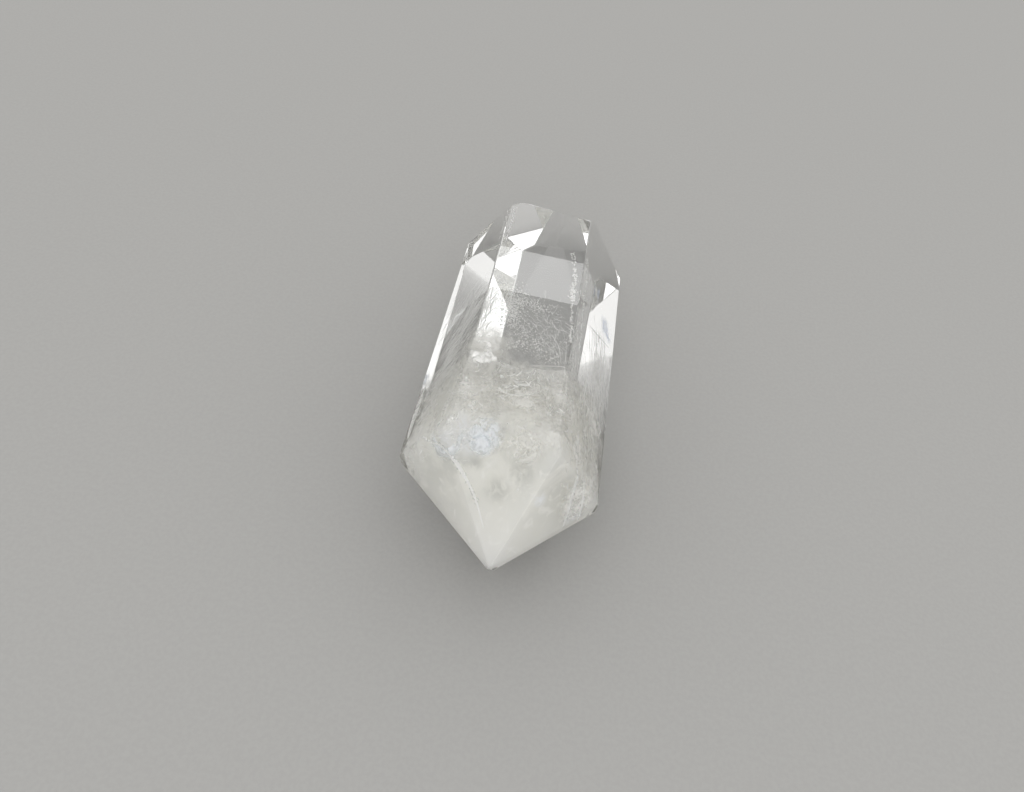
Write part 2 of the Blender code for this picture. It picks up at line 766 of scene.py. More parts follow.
@dataclass
class MilkyHeart:
    """The dense milk that fills the near point and thins to a lumpy end by the middle.

    Its far side stops at a flat healed break, which leans away from the near point.
    """

    break_top: Point = (0.5, -11.0, 19.6)
    break_foot: Point = (-0.1, -1.2, 0.0)
    across: Point = (1.0, 0.1, 0.0)
    tip: Point = (0.0, -31.2, 9.9)
    tip_skin: float = 0.15
    tip_lean: float = 0.05
    side_skin: float = 0.4
    taper_start: float = -20.0
    taper: float = 13.0
    voxel: float = 0.4
    lump: float = 4.0
    swell: float = 2.6
    rounding: int = 40
    swollen: float = 0.35
    skin: float = 0.28
    slanted: float = 0.3
    form_block: float = 90.0
    cloud_block: float = 50.0
    cloud_middle: Point = (0.0, -26.0, 10.0)

    def cuts(self, stone: Stone) -> list[CutPlane]:
        """Return the stone's faces, moved in and leaned in towards the far end.

        Args:
            stone: The stone that the heart lies in.

        Returns:
            The planes that bound the heart.
        """
        cuts = []
        for plane in stone.planes:
            if plane.normal.y < -self.slanted:
                rise = (metres(self.tip) - plane.point).dot(plane.normal)
                pivot = metres(self.tip) - plane.normal * (rise + self.tip_skin * MM)
                cuts.append(plane.leaned(pivot, self.tip_lean))
            elif plane.normal.y < self.slanted:
                start = Vector((plane.point.x, self.taper_start * MM, plane.point.z))
                pivot = start - plane.normal * self.side_skin * MM
                cuts.append(plane.leaned(pivot, math.tan(math.radians(self.taper))))
        return cuts

    def build(self, stone: Stone) -> None:
        """Model the heart as a lumpy cloud cut to the stone's form.

        Args:
            stone: The stone that the heart lies in.
        """
        form = Bench.start(bpy.ops.mesh.primitive_cube_add, "heart_form", size=self.form_block * MM)
        Bench.trim(self.cuts(stone))
        cloud = Bench.start(
            bpy.ops.mesh.primitive_cube_add,
            "milky_heart",
            size=self.cloud_block * MM,
            location=metres(self.cloud_middle),
        )
        Bench.trim([CutPlane.through(self.break_top, self.break_foot, self.across)])
        Bench.even_faces(cloud, self.voxel)
        Bench.lumps(cloud, self.lump, self.swell, middle=0.75)
        fit = cloud.modifiers.new("fit", "BOOLEAN")
        fit.operation = "INTERSECT"
        fit.object = form
        Bench.apply(cloud)
        Bench.even_faces(cloud, self.voxel)
        Bench.rounded(cloud, self.rounding)
        Bench.lumps(cloud, self.lump, self.swollen, middle=0.0)
        Bench.apply(cloud)
        stone.keep_piece(cloud, self.skin)
        bpy.data.objects.remove(form)
        Bench.finish(cloud, MilkQuartz().material())


@dataclass
class HazeLayers:
    """Thin milk around the heart, in nested depths that follow the stone's form."""

    insets: tuple[float, ...] = (0.5, 1.2, 2.3)
    strengths: tuple[float, ...] = (0.24, 0.4, 0.5)
    gone: tuple[float, ...] = (-7.0, -4.0, -1.0)
    far_cut: float = 4.0
    voxel: float = 0.6
    block: float = 90.0

    def build(self, stone: Stone) -> None:
        """Model every depth of the haze and dress it.

        Args:
            stone: The stone that the haze lies in.
        """
        end = CutPlane(Vector((0.0, self.far_cut * MM, 0.0)), Vector((0.0, 1.0, 0.0)))
        layers = zip(self.insets, self.strengths, self.gone)
        for index, (inset, strength, gone) in enumerate(layers, 1):
            piece = Bench.start(
                bpy.ops.mesh.primitive_cube_add, f"milk_haze_{index}", size=self.block * MM
            )
            Bench.trim([plane.inside(inset * MM) for plane in stone.planes] + [end])
            Bench.even_faces(piece, self.voxel)
            Bench.rounded(piece, 5 + 3 * index)
            Bench.lumps(piece, 3.0 + index, -0.6 * inset, middle=0.2)
            Bench.apply(piece)
            Bench.finish(piece, Haze(strength, gone=gone).material(piece.name))


class Form(Enum):
    """The small forms that inclusions are stamped from."""

    CHIP = "chip"
    GRAIN = "grain"
    NEEDLE = "needle"
    WISP = "wisp"


class Stamp:
    """A small form, modelled once, whose copies are joined into one piece."""

    def __init__(self, form: Form) -> None:
        """Model the form at a length of 1 along its own Z.

        Args:
            form: Which form to model.
        """
        makers = {
            Form.CHIP: self.chip,
            Form.GRAIN: self.grain,
            Form.NEEDLE: self.needle,
            Form.WISP: self.wisp,
        }
        model = makers[form]()
        self.corners = np.array([vertex.co for vertex in model.data.vertices])
        self.faces = np.array([face.vertices for face in model.data.polygons])
        self.thick = np.hypot(self.corners[:, 0], self.corners[:, 1]) < 0.1
        bpy.data.objects.remove(model)

    @staticmethod
    def chip() -> bpy.types.Object:
        """Model a four-sided splinter of rock, flat and uneven.

        Returns:
            The form.
        """
        model = Bench.start(
            bpy.ops.mesh.primitive_cone_add, "chip", vertices=3, radius1=0.55, radius2=0.0, depth=0.5
        )
        Bench.resize((1.0, 0.6, 0.8))
        return model

    @staticmethod
    def grain() -> bpy.types.Object:
        """Model a squashed bubble with few sides.

        Returns:
            The form.
        """
        model = Bench.start(
            bpy.ops.mesh.primitive_ico_sphere_add, "grain", subdivisions=1, radius=0.5
        )
        Bench.resize((0.8, 0.55, 1.0))
        return model

    @staticmethod
    def wisp() -> bpy.types.Object:
        """Model a thin round veil with a raised middle on both sides.

        Returns:
            The form.
        """
        model = Bench.start(
            bpy.ops.mesh.primitive_cone_add, "wisp", vertices=7, radius1=0.5, radius2=0.0, depth=0.03
        )
        bpy.ops.object.mode_set(mode="EDIT")
        Bench.pick_face(model, lambda face: len(face.vertices))
        bpy.ops.mesh.poke(offset=0.03)
        bpy.ops.object.mode_set(mode="OBJECT")
        return model

    @staticmethod
    def needle() -> bpy.types.Object:
        """Model a thin three-sided thread that tapers to both ends, from z 0 to 1.

        Returns:
            The form.
        """
        model = Bench.start(
            bpy.ops.mesh.primitive_cone_add,
            "needle",
            vertices=3,
            radius1=0.12,
            radius2=0.5,
            depth=0.2,
            location=(0.0, 0.0, 0.1),
        )
        bpy.ops.object.mode_set(mode="EDIT")
        for size in (1.0, 1.0, 0.75, 0.2):
            Bench.pick_face(model, lambda face: face.center.z)
            bpy.ops.mesh.extrude_region_move(TRANSFORM_OT_translate={"value": (0.0, 0.0, 0.2)})
            bpy.ops.transform.resize(value=(size, size, 1.0))
        bpy.ops.mesh.select_all(action="SELECT")
        bpy.ops.mesh.quads_convert_to_tris()
        bpy.ops.object.mode_set(mode="OBJECT")
        return model

    def joined(
        self,
        name: str,
        stone: Stone,
        places: np.ndarray,
        frames: np.ndarray,
        bows: np.ndarray | None = None,
        strengths: np.ndarray | None = None,
    ) -> bpy.types.Object:
        """Join copies of the form into one mesh that stays inside the stone.

        Args:
            name: The piece's name.
            stone: The stone that holds the piece.
            places: Where each copy is, in millimetres.
            frames: Each copy's three axes, as columns as long as the copy is, in millimetres.
            bows: How far the middle of each copy is pushed, in millimetres.
            strengths: How thick each copy is at its middle, for a wisp.

        Returns:
            The joined piece.
        """
        corners = np.einsum("nij,kj->nki", frames, self.corners) + places[:, None]
        if bows is not None:
            rise = self.corners[:, 2]
            corners += bows[:, None] * (rise * (1.0 - rise) * 4.0)[:, None]
        corners = stone.keep(corners.reshape(-1, 3))
        offsets = np.arange(len(places)) * len(self.corners)
        faces = (self.faces[None] + offsets[:, None, None]).reshape(-1, self.faces.shape[1])
        mesh = bpy.data.meshes.new(name)
        mesh.from_pydata((corners * MM).tolist(), [], faces.tolist())
        if strengths is not None:
            layer = mesh.attributes.new(THICKNESS, "FLOAT", "POINT")
            layer.data.foreach_set("value", (strengths[:, None] * self.thick).ravel())
        mesh.update()
        piece = bpy.data.objects.new(name, mesh)
        bpy.context.scene.collection.objects.link(piece)
        return piece


@dataclass
class MilkField:
    """Where the milk is: none past the healed break, then thin, and dense at the near point.

    Each wing of its front falls back at a slope, from a place in X, over a reach. In front of
    the window the front is sharp.
    """

    stone: Stone
    break_foot: float = -1.2
    break_lean: float = -0.5
    left_wing: tuple[float, float, float] = (1.2, -2.5, 5.5)
    right_wing: tuple[float, float, float] = (1.5, 6.0, 4.0)
    lead: float = 1.5
    fade: float = 9.0
    window: tuple[float, float] = (2.5, 3.8)
    window_milk: float = 0.3
    clump: float = 2.6
    cloudy: tuple[float, float] = (0.62, 0.9)
    thinnest: float = 0.08
    cleared: float = 0.85
    solid_from: float = -24.0
    solid_fade: float = 4.0
    low: Point = (-11.5, -31.2, 0.0)
    high: Point = (11.5, 3.0, 19.8)
    clear_spots: tuple[tuple[Point, float], ...] = (
        ((0.3, -16.4, 18.4), 1.6),
        ((2.2, -16.4, 18.4), 1.6),
        ((-1.9, -17.9, 18.4), 1.2),
        ((-5.4, -15.2, 18.2), 1.3),
        ((-6.7, -11.6, 16.7), 2.2),
        ((-0.3, -20.5, 18.8), 0.9),
        ((2.7, -23.0, 16.3), 2.0),
        ((5.6, -21.0, 18.4), 1.1),
        ((9.1, -18.6, 12.9), 1.6),
        ((-7.9, -19.1, 15.3), 1.0),
    )

    def behind(self, places: np.ndarray) -> np.ndarray:
        """Measure how far places are behind the milk's front.

        Args:
            places: Places in millimetres, one to a row.

        Returns:
            The distance of each place behind the front, in millimetres along Y.
        """
        x, y, z = places.T
        front = self.break_foot + self.break_lean * z
        slope, start, reach = self.left_wing
        left = slope * np.clip(start - x, 0.0, reach)
        slope, start, reach = self.right_wing
        right = slope * np.clip(x - start, 0.0, reach)
        return front - left - right - y

    def density(self, places: np.ndarray) -> np.ndarray:
        """Tell how milky places are.

        Args:
            places: Places in millimetres, one to a row.

        Returns:
            The density at each place, from 0 to 1.
        """
        behind = self.behind(places)
        share = smooth((behind + self.lead) / self.fade)
        middle, reach = self.window
        sharp = self.window_milk * (behind > 0.0) * (np.abs(places[:, 0] - middle) < reach)
        near = smooth((places[:, 1] - self.solid_from) / self.solid_fade)
        body = np.clip(share + sharp, 0.0, 1.0) * near
        drawn = places * (1.0, 0.5, 1.0) / self.clump
        cloud = np.array([noise.fractal(Vector(spot), 1.0, 2.0, 3) for spot in drawn])
        mean, swing = self.cloudy
        density = body * np.clip(mean + swing * cloud, self.thinnest, 1.0)
        for centre, radius in self.clear_spots:
            away = np.linalg.norm(places - np.array(centre), axis=1) / radius
            density *= 1.0 - self.cleared * smooth(1.3 - away)
        return density

    def draw(self, rng: np.random.Generator, count: int, inset: float) -> np.ndarray:
        """Draw places, more of them where it's milkier.

        Args:
            rng: The source of chance.
            count: How many places.
            inset: How far inside the stone they must be, in millimetres.

        Returns:
            The places in millimetres, one to a row.
        """
        found: list[np.ndarray] = []
        while sum(map(len, found)) < count:
            tries = rng.uniform(self.low, self.high, (count, 3))
            tries = tries[self.stone.holds(tries, inset)]
            tries = tries[self.behind(tries) > -self.lead]
            found.append(tries[rng.random(len(tries)) < self.density(tries)])
        return np.concatenate(found)[:count]


@dataclass
class MilkWisps:
    """Thousands of small soft veils, at every angle, that make the body of the thin milk."""

    field: MilkField
    count: int = 10000
    size: tuple[float, float] = (0.8, 2.8)
    strength: float = 0.30
    inset: float = 0.12
    seed: int = 5

    def build(self) -> None:
        """Scatter the wisps through the milk."""
        rng = np.random.default_rng(self.seed)
        places = self.field.draw(rng, self.count, self.inset)
        sizes = rng.uniform(*self.size, self.count) * rng.uniform(0.6, 1.0, self.count)
        frames = any_turns(rng, self.count) * sizes[:, None, None]
        strengths = rng.uniform(0.35, 1.0, self.count)
        piece = Stamp(Form.WISP).joined(
            "milk_wisps", self.field.stone, places, frames, strengths=strengths
        )
        Bench.finish(piece, SoftWisp(self.strength).material(piece.name))


@dataclass
class MilkDust:
    """Thousands of tiny chips that give the milk its grain."""

    field: MilkField
    count: int = 14000
    size: tuple[float, float] = (0.05, 0.14)
    inset: float = 0.12
    deepest: tuple[float, float] = (4.0, 12.0)
    seed: int = 11

    def build(self) -> None:
        """Scatter the chips through the milk."""
        rng = np.random.default_rng(self.seed)
        places = self.field.draw(rng, self.count, self.inset)
        places = places[self.field.behind(places) < rng.uniform(*self.deepest, self.count)]
        sizes = rng.uniform(*self.size, len(places))
        frames = any_turns(rng, len(places)) * sizes[:, None, None]
        piece = Stamp(Form.CHIP).joined("milk_dust_1", self.field.stone, places, frames)
        Bench.finish(piece, WhiteInclusion().material("milk_dust"))


@dataclass(frozen=True)
class Spray:
    """A bundle of needles: where it lies, which way it runs and how its needles bow."""

    middle: Point
    spread: Point
    way: Point
    bow: Point
    count: int
    length: tuple[float, float] = (1.5, 4.0)
    width: tuple[float, float] = (0.035, 0.08)
    wander: float = 0.12


@dataclass
class NeedleSprays:
    """Fine curved needles, that cross the clear part in front of the milk."""

    stone: Stone
    seed: int = 23
    sprays: tuple[Spray, ...] = (
        Spray((-6.3, -1.2, 15.9), (1.0, 2.2, 1.0), (2.3, 6.2, 3.3), LEFT_BOW, 150, width=(0.04, 0.1)),
        Spray((-7.6, -6.0, 14.3), (1.0, 2.6, 1.2), (2.3, 4.6, 3.3), LEFT_BOW, 190, width=(0.04, 0.11)),
        Spray(
            (-7.8, -11.2, 14.6),
            (1.2, 2.0, 1.0),
            (2.3, 2.4, 3.2),
            bow=(-0.3, 0.1, 0.4),
            count=130,
            width=(0.05, 0.13),
        ),
        Spray((-0.5, -14.6, 18.6), (3.2, 1.9, 0.5), (2.4, 0.9, 0.1), SOFT_BOW, 220, STREAK, BROAD, 0.5),
        Spray((-4.2, -17.8, 18.3), (1.9, 1.9, 0.6), (1.6, 1.6, 0.5), SOFT_BOW, 120, STREAK, BROAD, 0.6),
        Spray((4.6, -15.0, 18.0), (1.5, 2.2, 0.7), (0.8, -2.2, 0.1), SOFT_BOW, 110, STREAK, BROAD, 0.6),
        Spray((8.2, -13.5, 13.6), (1.0, 3.6, 1.2), (0.9, -3.0, -0.4), SOFT_BOW, 170, STREAK, BROAD, 0.4),
        Spray((-8.3, -15.2, 13.9), (1.1, 2.2, 1.2), (1.8, 1.8, 1.9), SOFT_BOW, 140, STREAK, BROAD, 0.5),
        Spray((-8.4, 1.4, 11.6), (0.9, 2.4, 1.2), (2.0, 6.0, 3.5), (-0.2, 0.0, 0.2), 90),
        Spray((1.9, -1.6, 15.2), (1.7, 2.2, 1.6), (3.2, -3.6, -0.4), FLAT_BOW, 120, SHORT, THIN, 0.6),
        Spray((2.8, -4.2, 13.8), (1.6, 1.7, 1.6), (1.2, -2.6, 0.6), FLAT_BOW, 110, (0.4, 2.0), THIN, 0.7),
        Spray((8.2, -1.6, 11.6), (1.0, 2.6, 1.4), (0.9, -4.0, 0.4), (0.1, 0.0, 0.1), 260, wander=0.16),
        Spray((8.6, -6.6, 10.6), (1.0, 2.4, 1.6), (1.4, -4.0, 0.2), (0.1, 0.0, 0.1), 220, wander=0.2),
    )

    def build(self) -> None:
        """Model every spray, all joined into one piece."""
        rng = np.random.default_rng(self.seed)
        places, frames, bows = [], [], []
        for spray in self.sprays:
            ways = np.array(spray.way) / np.linalg.norm(spray.way)
            ways = ways + rng.normal(0.0, spray.wander, (spray.count, 3))
            turns = turns_along(ways, rng)
            lengths = rng.uniform(*spray.length, spray.count)
            widths = rng.uniform(*spray.width, spray.count)
            sizes = np.stack([widths, widths, lengths], axis=1)
            middles = np.array(spray.middle) + rng.normal(size=(spray.count, 3)) * spray.spread
            places.append(middles - turns[:, :, 2] * lengths[:, None] * 0.5)
            frames.append(turns * sizes[:, None, :])
            bows.append(np.array(spray.bow) * rng.uniform(0.3, 1.6, spray.count)[:, None])
        piece = Stamp(Form.NEEDLE).joined(
            "fine_needles", self.stone, *map(np.concatenate, (places, frames)), np.concatenate(bows)
        )
        Bench.finish(piece, WhiteInclusion().material(piece.name))


@dataclass(frozen=True)
class Cluster:
    """A cloud of specks: its middle, how far it spreads, how many and how big."""

    middle: Point
    spread: Point
    count: int
    size: tuple[float, float] = (0.05, 0.14)


@dataclass
class SpeckClouds:
    """Fine white specks, in clouds that hang in the clear part."""

    stone: Stone
    seed: int = 31
    clusters: tuple[Cluster, ...] = (
        Cluster((-2.7, 0.8, 16.8), (0.8, 1.1, 0.9), 620, (0.07, 0.2)),
        Cluster((-2.4, -1.6, 16.2), (0.7, 1.0, 0.9), 420, (0.08, 0.24)),
        Cluster((-1.2, 1.2, 16.2), (1.2, 0.5, 0.8), 260, (0.07, 0.2)),
        Cluster((1.0, 0.8, 15.6), (1.4, 0.4, 0.9), 130, (0.07, 0.2)),
        Cluster((-0.6, -3.6, 15.0), (1.2, 0.8, 1.0), 170, (0.06, 0.22)),
        Cluster((0.8, -5.0, 14.6), (1.0, 0.5, 0.8), 120, (0.06, 0.24)),
        Cluster((-1.6, -5.8, 15.2), (1.1, 0.5, 0.6), 140, (0.07, 0.26)),
        Cluster((3.0, -6.4, 14.4), (1.1, 0.4, 0.6), 70, (0.07, 0.26)),
        Cluster((1.4, -3.0, 13.8), (2.4, 2.4, 2.0), 150, (0.06, 0.2)),
        Cluster((0.0, 8.0, 12.0), (5.5, 7.0, 5.0), 170, (0.05, 0.13)),
        Cluster((-5.6, -3.0, 16.0), (1.6, 3.2, 1.4), 260),
        Cluster((8.6, -3.5, 11.0), (1.2, 4.0, 2.0), 320),
        Cluster((9.2, 3.0, 10.8), (1.0, 3.0, 1.6), 60),
    )

    def build(self) -> None:
        """Scatter every cloud, all joined into one piece."""
        rng = np.random.default_rng(self.seed)
        places = np.concatenate(
            [rng.normal(cluster.middle, cluster.spread, (cluster.count, 3)) for cluster in self.clusters]
        )
        sizes = np.concatenate([rng.uniform(*cluster.size, cluster.count) for cluster in self.clusters])
        inside = self.stone.holds(places, 0.25)
        places, sizes = places[inside], sizes[inside]
        frames = any_turns(rng, len(places)) * sizes[:, None, None]
        piece = Stamp(Form.GRAIN).joined("white_specks", self.stone, places, frames)
        Bench.finish(piece, WhiteInclusion().material(piece.name))


def along_path(path: tuple[Point, ...], steps: np.ndarray) -> np.ndarray:
    """Return places along a line of places, each at its own step of the line."""
    line = np.array(path)
    return np.stack([np.interp(steps, range(len(line)), line[:, axis]) for axis in range(3)], 1)


def lifted(places: np.ndarray, lift: float) -> np.ndarray:
    """Move places straight out from the stone's long axis by a lift in millimetres."""
    outward = (places - (0.0, 0.0, 9.9)) * (1.0, 0.0, 1.0)
    return places + lift * outward / np.linalg.norm(outward, axis=1)[:, None]


@dataclass(frozen=True)
class Trail:
    """A trail of specks along a line of places."""

    path: tuple[Point, ...]
    count: int
    size: tuple[float, float]
    drift: float


@dataclass
class SpeckTrails:
    """Bubbles strung out in lines, the largest of them beside the clear window."""

    stone: Stone
    seed: int = 41
    trails: tuple[Trail, ...] = (
        Trail(((3.7, 13.1, 16.1), (4.1, 10.9, 16.1), (4.5, 8.3, 16.1)), 50, (0.12, 0.3), 0.16),
        Trail(((4.5, 8.3, 16.1), (4.5, 5.3, 16.1), (4.5, 3.6, 16.1)), 70, (0.14, 0.38), 0.2),
        Trail(((4.6, 3.4, 16.1), (4.9, -0.3, 16.0), (5.2, -4.3, 16.0)), 75, (0.12, 0.36), 0.08),
        Trail(((-5.3, 19.2, 17.9), (-5.2, 16.6, 17.9), (-5.4, 11.8, 17.8)), 70, (0.12, 0.26), 0.08),
    )

    def build(self) -> None:
        """String every trail, all joined into one piece."""
        rng = np.random.default_rng(self.seed)
        places, sizes = [], []
        for trail in self.trails:
            steps = rng.uniform(0.0, len(trail.path) - 1, trail.count)
            line = along_path(trail.path, steps)
            places.append(line + rng.normal(0.0, trail.drift, line.shape))
            sizes.append(rng.uniform(*trail.size, trail.count))
        sizes = np.concatenate(sizes)
        frames = any_turns(rng, len(sizes)) * sizes[:, None, None]
        piece = Stamp(Form.GRAIN).joined("speck_trails", self.stone, np.concatenate(places), frames)
        Bench.finish(piece, WhiteInclusion().material(piece.name))


@dataclass
class BrightGlints:
    """Larger bright bubbles in the milk, each at its own place."""

    stone: Stone
    lift: float = 0.25
    seed: int = 53
    glints: tuple[tuple[Point, float], ...] = (
        ((-5.4, -14.6, 19.2), 0.75),
        ((-6.0, -13.6, 18.7), 0.55),
        ((-1.7, -13.3, 19.1), 0.6),
        ((-4.2, -18.4, 19.2), 0.85),
        ((-3.9, -17.8, 19.2), 0.6),
        ((-6.0, -20.3, 18.7), 0.6),
        ((-5.7, -20.1, 18.9), 0.5),
        ((-2.6, -20.0, 19.2), 0.6),
        ((4.8, -16.8, 19.0), 0.5),
        ((-9.3, -10.2, 14.2), 0.6),
        ((5.4, -14.0, 19.0), 0.5),
        ((0.0, -19.7, 19.1), 0.45),
        ((-5.9, -18.3, 18.9), 0.5),
        ((-6.9, -16.6, 17.6), 0.5),
        ((0.9, -18.6, 19.1), 0.4),
        ((-2.7, -21.5, 17.8), 0.7),
        ((2.2, -24.8, 15.1), 0.45),
        ((6.6, -17.3, 16.9), 0.5),
        ((8.8, -7.0, 13.4), 0.5),
        ((9.8, -5.5, 11.7), 0.45),
        ((-8.4, -6.6, 15.5), 0.5),
        ((1.7, -11.5, 19.1), 0.4),
        ((3.6, -16.5, 19.0), 0.4),
        ((-1.5, -21.0, 18.3), 0.75),
        ((-5.2, -21.5, 17.8), 0.55),
        ((8.1, -14.7, 14.5), 0.5),
        ((2.2, -23.6, 16.3), 0.35),
    )

    def build(self) -> None:
        """Model every glint, all joined into one piece."""
        rng = np.random.default_rng(self.seed)
        places = np.array([place for place, size in self.glints])
        sizes = np.array([size for place, size in self.glints])
        places = lifted(places, self.lift)
        stretch = rng.uniform(0.6, 1.3, (len(sizes), 3)) * sizes[:, None]
        frames = any_turns(rng, len(sizes)) * stretch[:, None, :]
        piece = Stamp(Form.GRAIN).joined("bright_glints", self.stone, places, frames)
        Bench.subdivided(piece)
        Bench.apply(piece)
        Bench.finish(piece, WhiteInclusion().material(piece.name))


@dataclass(frozen=True)
class Band:
    """A soft white band: its line, its half width at every place on it, and its thread's depth."""

    name: str
    path: tuple[Point, ...]
    widths: tuple[float, ...]
    depth: float = 0.2


@dataclass
class SoftVeins:
    """The broad white veins of the milk: a thread along each, under many soft veils."""

    stone: Stone
    crowd: int = 12
    lift: float = 0.12
    thread_width: float = 0.75
    thread_uneven: float = 0.3
    spread: float = 0.4
    veil_size: tuple[float, float] = (1.2, 3.2)
    veils: SoftWisp = SoftWisp(0.9, (0.985, 0.985, 0.975))
    seed: int = 61
    bands: tuple[Band, ...] = (
        Band(
            "vein_left",
            (
                (-9.0, -20.0, 14.7),
                (-7.5, -21.2, 16.2),
                (-6.3, -21.9, 16.7),
                (-5.0, -23.0, 16.6),
                (-4.2, -23.7, 16.0),
                (-3.3, -24.5, 15.3),
                (-2.4, -25.4, 14.6),
                (-1.8, -26.1, 14.0),
                (-1.1, -27.2, 13.0),
                (-0.4, -28.3, 12.1),
            ),
            (0.08, 0.2, 0.16, 0.3, 0.36, 0.26, 0.2, 0.2, 0.13, 0.03),
        ),
        Band(
            "vein_right",
            (
                (7.4, -16.4, 15.7),
                (7.7, -18.3, 15.3),
                (7.7, -19.9, 15.2),
                (8.1, -21.1, 14.6),
                (8.0, -22.0, 13.5),
                (7.9, -22.7, 12.3),
                (7.8, -23.7, 10.7),
                (7.7, -24.6, 9.4),
            ),
            (0.04, 0.18, 0.14, 0.24, 0.36, 0.36, 0.3, 0.06),
        ),
        Band(
            "vein_right_fork",
            (
                (8.2, -20.2, 14.3),
                (8.9, -21.2, 13.3),
                (9.3, -21.7, 11.7),
                (9.3, -22.4, 10.3),
                (9.2, -23.3, 9.1),
            ),
            (0.04, 0.22, 0.3, 0.34, 0.06),
        ),
        Band(
            "vein_left_rim",
            ((-10.5, -10.6, 11.9), (-10.6, -12.6, 11.8), (-10.7, -15.0, 11.7), (-10.6, -18.8, 11.5)),
            (0.1, 0.6, 0.75, 0.4),
            0.55,
        ),
    )

    def build(self) -> None:
        """Draw a thread along every band, and join the veils of all bands into one piece."""
        rng = np.random.default_rng(self.seed)
        thread = WhiteInclusion().material("vein_thread")
        places, sizes = [], []
        for band in self.bands:
            last = len(band.path) - 1
            steps = rng.uniform(0.0, last, self.crowd * last)
            widths = np.interp(steps, range(last + 1), band.widths)
            drift = rng.normal(0.0, self.spread, (len(steps), 3)) * widths[:, None]
            places.append(along_path(lifted(np.array(band.path), self.lift), steps) + drift)
            sizes.append(widths * rng.uniform(*self.veil_size, len(steps)))
            path = tuple(map(tuple, self.stone.sunk(np.array(band.path), band.depth)))
            thin = tuple(self.thread_width * width for width in band.widths)
            Vein(band.name, path, thin, self.thread_uneven).build(self.stone, thread)
        sizes = np.concatenate(sizes)
        frames = any_turns(rng, len(sizes)) * sizes[:, None, None]
        strengths = rng.uniform(0.5, 1.0, len(sizes))
        piece = Stamp(Form.WISP).joined(
            "soft_veins", self.stone, np.concatenate(places), frames, strengths=strengths
        )
        Bench.finish(piece, self.veils.material(piece.name))


@dataclass(frozen=True)
class Vein:
    """A white vein: the line it follows and its half width at every place on the line.

    Its surface is lumpy, by a share of its greatest width.
    """

    name: str
    path: tuple[Point, ...]
    widths: tuple[float, ...]
    uneven: float = 0.9
    lump: float = 0.5
    sides: int = 6

    def build(self, stone: Stone, material: bpy.types.Material) -> None:
        """Draw the vein out along its line, one extrusion to a step.

        Args:
            stone: The stone that holds the vein.
            material: The vein's finish.
        """
        places = [metres(place) for place in self.path]
        way = (places[1] - places[0]).to_track_quat("Z", "Y").to_euler()
        piece = Bench.start(
            bpy.ops.mesh.primitive_circle_add,
            self.name,
            vertices=self.sides,
            radius=self.widths[0] * MM,
            fill_type="NGON",
            location=places[0],
            rotation=way,
        )
        bpy.ops.object.mode_set(mode="EDIT")
        bpy.ops.mesh.select_all(action="SELECT")
        for before, after, thin, wide in zip(places, places[1:], self.widths, self.widths[1:]):
            bpy.ops.mesh.extrude_region_move(TRANSFORM_OT_translate={"value": tuple(after - before)})
            bpy.ops.transform.resize(value=(wide / thin,) * 3)
        bpy.ops.mesh.select_all(action="SELECT")
        bpy.ops.mesh.normals_make_consistent(inside=False)
        bpy.ops.object.mode_set(mode="OBJECT")
        Bench.subdivided(piece)
        Bench.lumps(piece, self.lump, self.uneven * max(self.widths))
        Bench.apply(piece)
        stone.keep_piece(piece)
        Bench.finish(piece, material)


